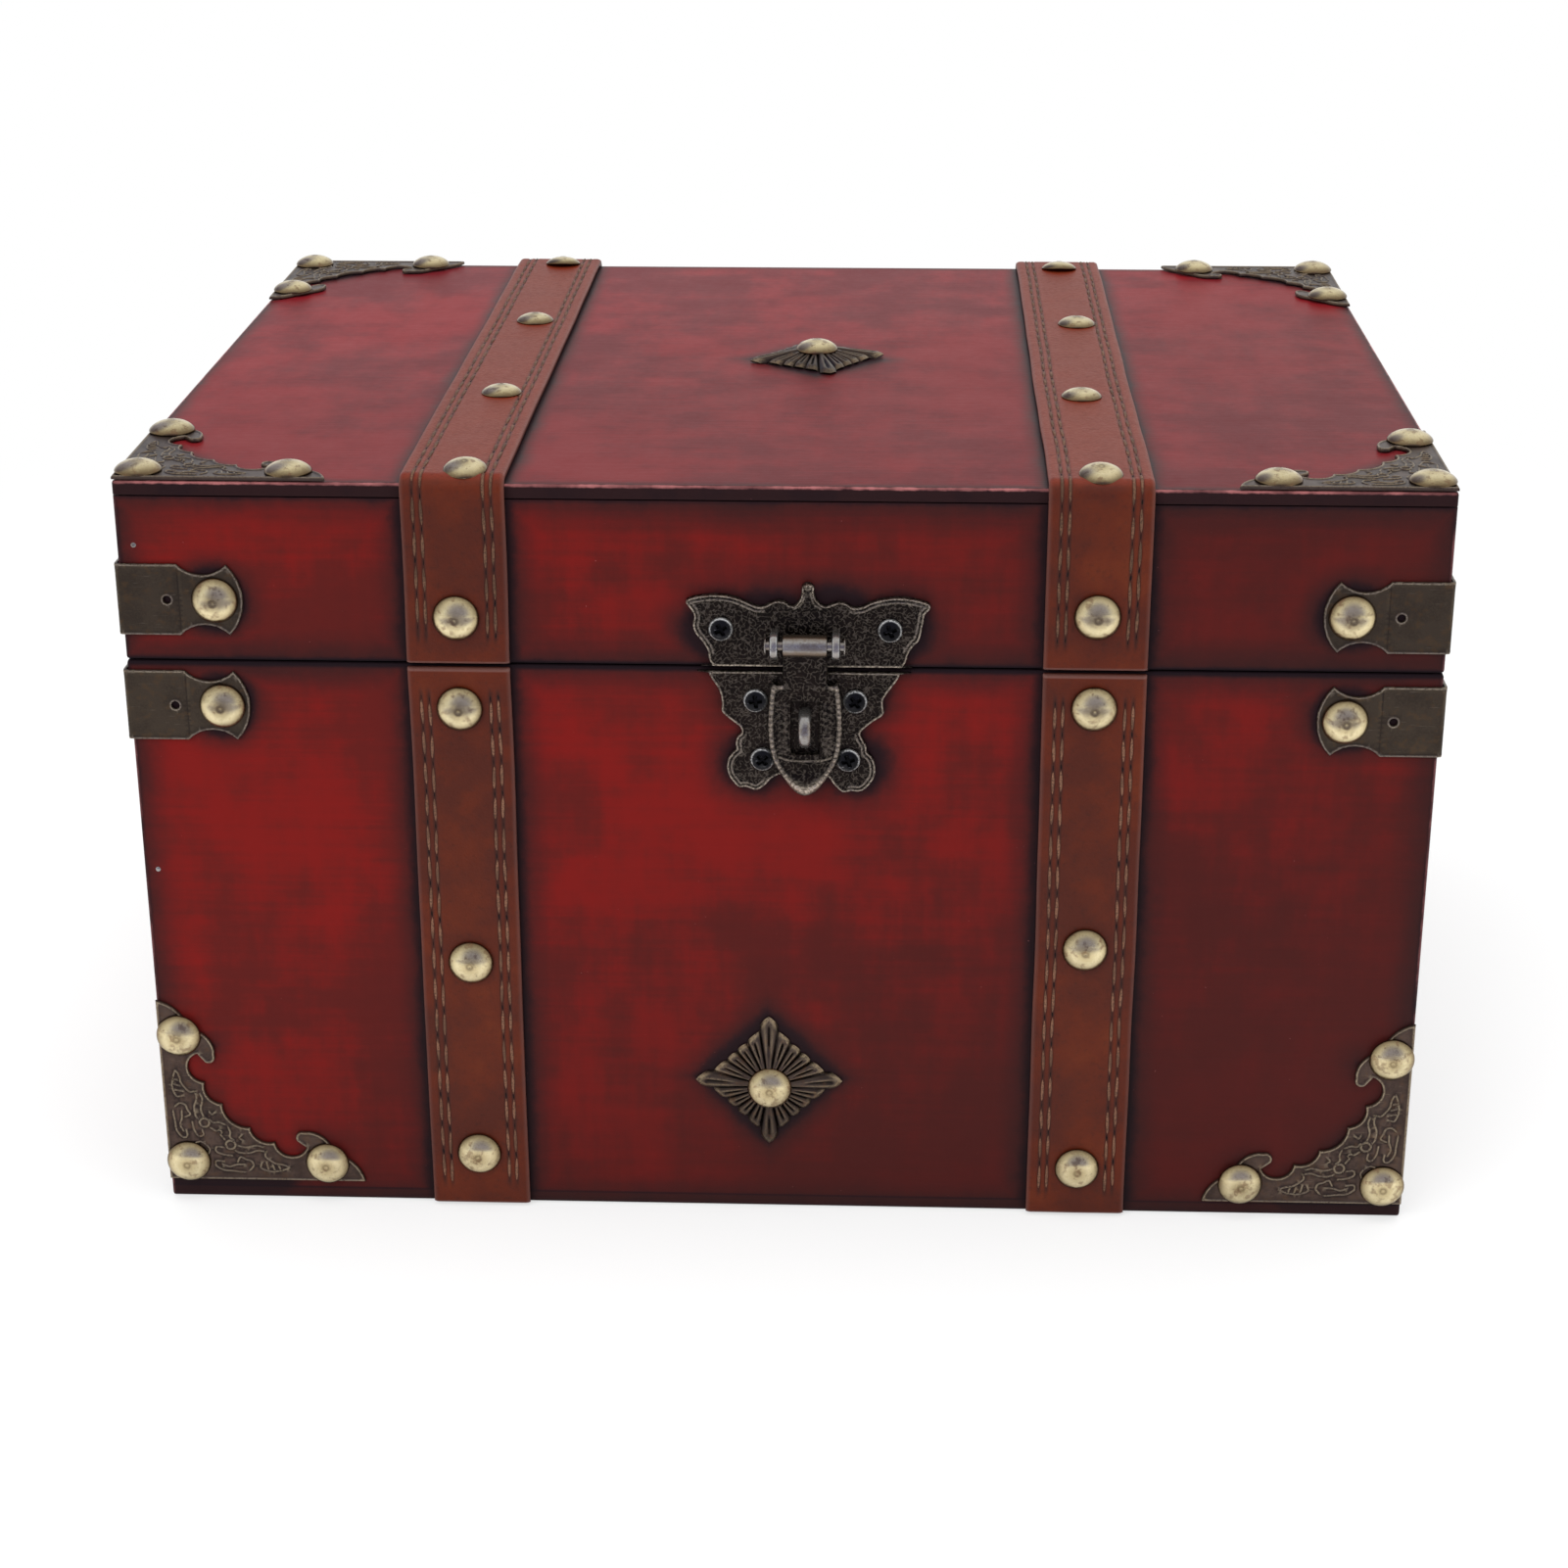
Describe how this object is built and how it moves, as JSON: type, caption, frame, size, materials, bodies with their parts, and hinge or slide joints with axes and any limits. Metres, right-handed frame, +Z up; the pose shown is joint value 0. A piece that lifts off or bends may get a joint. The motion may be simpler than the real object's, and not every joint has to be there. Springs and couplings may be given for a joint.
{
  "type": "treasure chest",
  "caption": "Wooden treasure chest with a hinged lid, leather straps held by domed brass studs, ornamental corner plates, star rosettes and a butterfly hasp over a staple.",
  "frame": {"origin": "on the surface that the chest stands on, under the middle of the box's footprint", "axes": "+X to the right along the front, +Y to the back, where the hinges are, and +Z up; the front with the hasp faces -Y"},
  "size_m": [0.2862, 0.2262, 0.175],
  "materials": {
    "red_wood": "dark red stain under a thin satin lacquer, shaded darker around its edges",
    "strap_leather": "smooth brown leather, stitched along both edges",
    "antique_bronze": "antiqued bronze plating, worn lighter on raised edges",
    "stud_brass": "polished pale brass plating",
    "hasp_bronze": "stippled casting with a dark bronze finish, worn on its rims",
    "screw_black": "blackened screw head",
    "pin_steel": "worn plated steel"
  },
  "bodies": {
    "chest": {"bottom_panel": "red_wood", "front_panel": "red_wood", "back_panel": "red_wood", "left_side_panel": "red_wood", "right_side_panel": "red_wood", "body_strap_front_left": "strap_leather", "body_strap_front_right": "strap_leather", "body_strap_back_left": "strap_leather", "body_strap_back_right": "strap_leather", "body_stud_left_1": "stud_brass", "body_stud_left_2": "stud_brass", "body_stud_left_3": "stud_brass", "body_stud_right_1": "stud_brass", "body_stud_right_2": "stud_brass", "body_stud_right_3": "stud_brass", "front_corner_plate_left": "antique_bronze", "front_corner_plate_right": "antique_bronze", "body_bracket_left": "antique_bronze", "body_bracket_right": "antique_bronze", "front_rosette": "antique_bronze", "hasp_catch_plate": "hasp_bronze", "hasp_screw_upper_left": "screw_black", "hasp_screw_upper_right": "screw_black", "hasp_screw_lower_left": "screw_black", "hasp_screw_lower_right": "screw_black", "hinge_body_leaf_left": "antique_bronze", "hinge_body_leaf_right": "antique_bronze", "hinge_pin_left": "antique_bronze", "hinge_pin_right": "antique_bronze"},
    "lid": {"lid_top_panel": "red_wood", "lid_front_rail": "red_wood", "lid_back_rail": "red_wood", "lid_left_rail": "red_wood", "lid_right_rail": "red_wood", "lid_strap_left": "strap_leather", "lid_strap_right": "strap_leather", "lid_front_stud_left": "stud_brass", "lid_front_stud_right": "stud_brass", "lid_top_stud_left_1": "stud_brass", "lid_top_stud_left_2": "stud_brass", "lid_top_stud_left_3": "stud_brass", "lid_top_stud_left_4": "stud_brass", "lid_top_stud_right_1": "stud_brass", "lid_top_stud_right_2": "stud_brass", "lid_top_stud_right_3": "stud_brass", "lid_top_stud_right_4": "stud_brass", "top_corner_plate_front_left": "antique_bronze", "top_corner_plate_front_right": "antique_bronze", "top_corner_plate_back_left": "antique_bronze", "top_corner_plate_back_right": "antique_bronze", "lid_bracket_left": "antique_bronze", "lid_bracket_right": "antique_bronze", "lid_rosette": "antique_bronze", "hasp_lid_plate": "hasp_bronze", "hasp_pin": "pin_steel", "hasp_screw_lid_left": "screw_black", "hasp_screw_lid_right": "screw_black", "hinge_lid_leaf_left": "antique_bronze", "hinge_lid_leaf_right": "antique_bronze"},
    "hasp": {"hasp_tongue": "hasp_bronze"}
  },
  "joints": [
    {"name": "lid_hinge", "type": "hinge", "parent": "chest", "child": "lid", "pos_m": [0, 0.1096, 0.13035], "axis": [-1, 0, 0], "range_deg": [0, 150]},
    {"name": "hasp_swing", "type": "hinge", "parent": "lid", "child": "hasp", "pos_m": [0.0054, -0.1113, 0.1366], "axis": [-1, 0, 0], "range_deg": [0, 170]}
  ]
}
